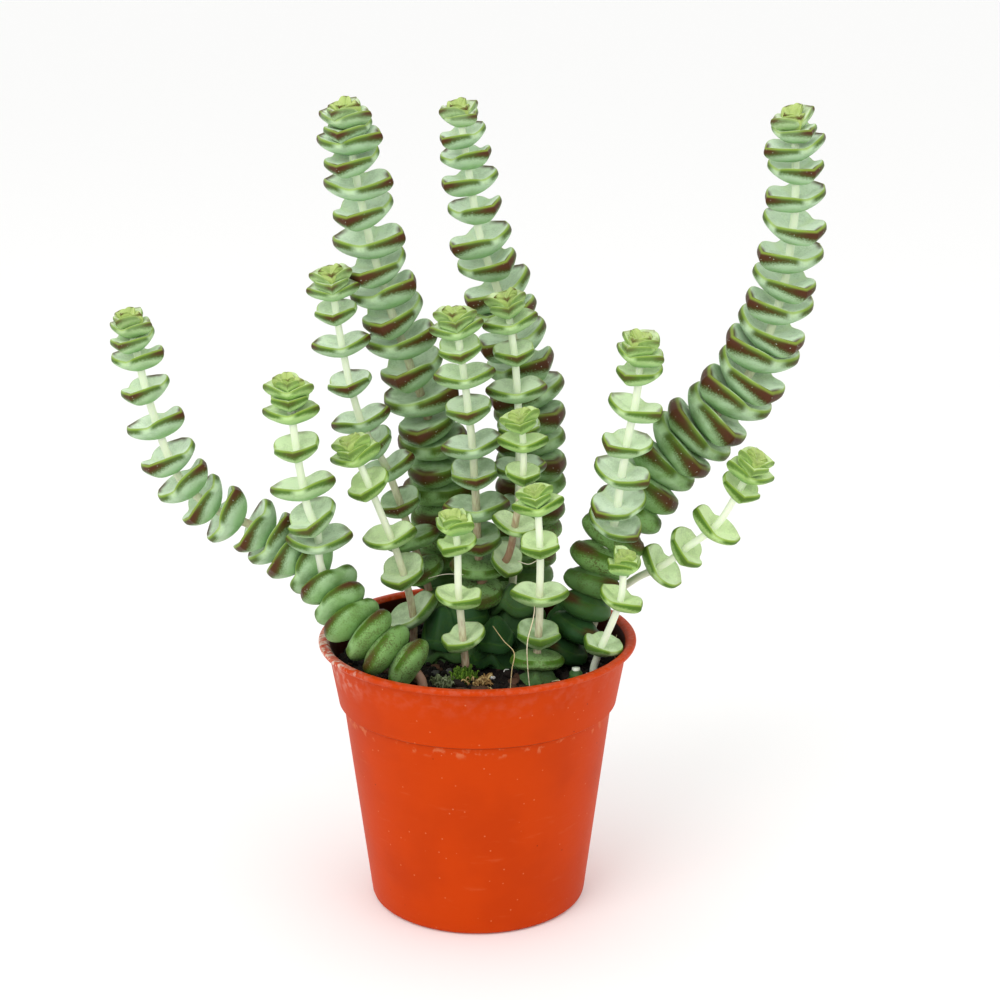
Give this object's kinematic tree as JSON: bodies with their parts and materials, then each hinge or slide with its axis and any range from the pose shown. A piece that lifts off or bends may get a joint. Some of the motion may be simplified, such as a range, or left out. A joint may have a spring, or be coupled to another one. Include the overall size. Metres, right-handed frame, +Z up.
{
  "type": "potted crassula",
  "caption": "Trailing and upright succulent stems threaded with fleshy leaf pairs like beads, standing in soil in a round orange plastic nursery pot.",
  "frame": {"origin": "middle of the pot's flat underside", "axes": "+Z up along the pot's axis, -Y towards the side that the picture shows, +X to that view's right"},
  "size_m": [0.1927, 0.09, 0.2272],
  "materials": {
    "pot_plastic": "satin",
    "potting_soil": "matte",
    "leaves_far_left": "satin",
    "leaves_tall_left": "satin",
    "leaves_slim_left": "satin",
    "leaves_low_left": "satin",
    "leaves_tall_centre": "satin",
    "leaves_mid_centre": "satin",
    "leaves_slim_centre": "satin",
    "leaves_short_right": "satin",
    "leaves_short_front": "satin",
    "leaves_tall_right": "satin",
    "leaves_low_right": "satin",
    "leaves_small_right": "satin"
  },
  "bodies": {
    "root": {"pot": "pot_plastic", "soil": "potting_soil", "stem_far_left": "leaves_far_left", "stem_tall_left": "leaves_tall_left", "stem_slim_left": "leaves_slim_left", "stem_low_left": "leaves_low_left", "stem_tall_centre": "leaves_tall_centre", "stem_mid_centre": "leaves_mid_centre", "stem_slim_centre": "leaves_slim_centre", "stem_short_right": "leaves_short_right", "stem_short_front": "leaves_short_front", "stem_tall_right": "leaves_tall_right", "stem_low_right": "leaves_low_right", "stem_small_right": "leaves_small_right"}
  },
  "joints": []
}
